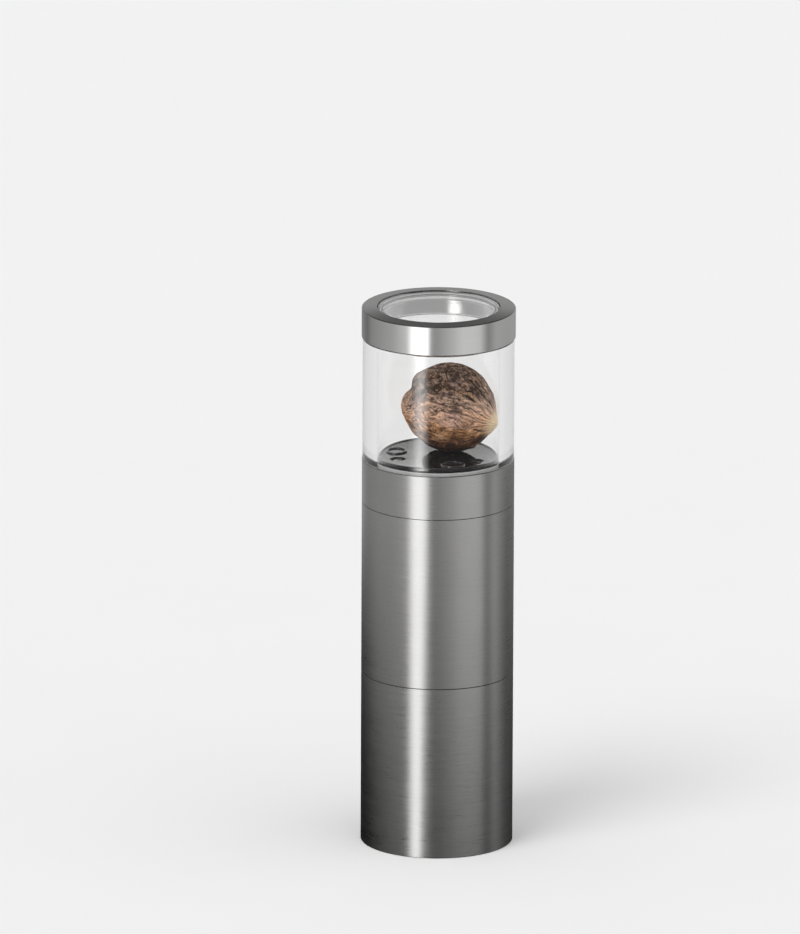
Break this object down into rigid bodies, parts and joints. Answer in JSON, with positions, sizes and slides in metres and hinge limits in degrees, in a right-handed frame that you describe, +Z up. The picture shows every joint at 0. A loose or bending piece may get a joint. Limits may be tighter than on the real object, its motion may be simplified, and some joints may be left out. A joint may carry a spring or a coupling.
{
  "type": "twist nutmeg mill",
  "caption": "Upright twist nutmeg mill: brushed steel sleeves, turning blade head, sprung plunger, clear pull-out storage jar and ring cap with a clear window.",
  "frame": {"origin": "centre of the bottom rim, on the surface that the mill stands on", "axes": "+Z up the turning axis, -Y towards the front, +X to the right seen from the front"},
  "size_m": [0.0404, 0.0404, 0.145],
  "materials": {
    "brushed_steel": "satin, brushed round the axis",
    "blade_steel": "bright rolled sheet",
    "turned_steel": "turned, bright",
    "spring_steel": "drawn wire",
    "black_plastic": "fine matt moulding",
    "gloss_black": "polished moulding",
    "bearing_plastic": "natural acetal",
    "silicone": "soft",
    "clear_silicone": "soft, milky",
    "clear_acrylic": "clear, polished",
    "nutmeg_shell": "dry, wrinkled"
  },
  "bodies": {
    "grinder_head": {"lower_sleeve": "brushed_steel", "head_liner": "black_plastic", "blade_disc": "blade_steel", "blade_ring": "gloss_black", "bearing_ring": "bearing_plastic", "glide_washer": "gloss_black"},
    "mill_body": {"middle_sleeve": "brushed_steel", "body_liner": "black_plastic", "turn_retainer": "spring_steel"},
    "storage_unit": {"collar_sleeve": "brushed_steel", "collar_core": "black_plastic", "guide_bush": "bearing_plastic", "plug_seal": "silicone", "jar": "clear_acrylic", "jar_gasket": "clear_silicone", "floor_plate": "gloss_black", "floor_seal": "clear_silicone", "floor_screws": "turned_steel", "nutmeg": "nutmeg_shell", "press_spring": "spring_steel"},
    "plunger": {"plunger_rod": "turned_steel", "press_plate": "black_plastic", "press_prongs": "turned_steel", "stop_washer": "turned_steel", "stop_screw": "turned_steel"},
    "lid": {"cap_ring": "brushed_steel", "cap_window": "clear_acrylic", "cap_seal": "clear_silicone"}
  },
  "joints": [
    {"name": "grind_twist", "type": "hinge", "parent": "grinder_head", "child": "mill_body", "pos_m": [0, 0, 0.046], "axis": [0, 0, 1], "continuous": true},
    {"name": "storage_pull", "type": "slide", "parent": "mill_body", "child": "storage_unit", "axis": [0, 0, 1], "range_m": [0, 0.085]},
    {"name": "plunger_press", "type": "slide", "parent": "storage_unit", "child": "plunger", "axis": [0, 0, 1], "range_m": [0, 0.021], "stiffness_N_per_m": 250, "springref_m": -0.02, "deforming": ["press_spring"]},
    {"name": "lid_pull", "type": "slide", "parent": "storage_unit", "child": "lid", "axis": [0, 0, 1], "range_m": [0, 0.03]}
  ]
}
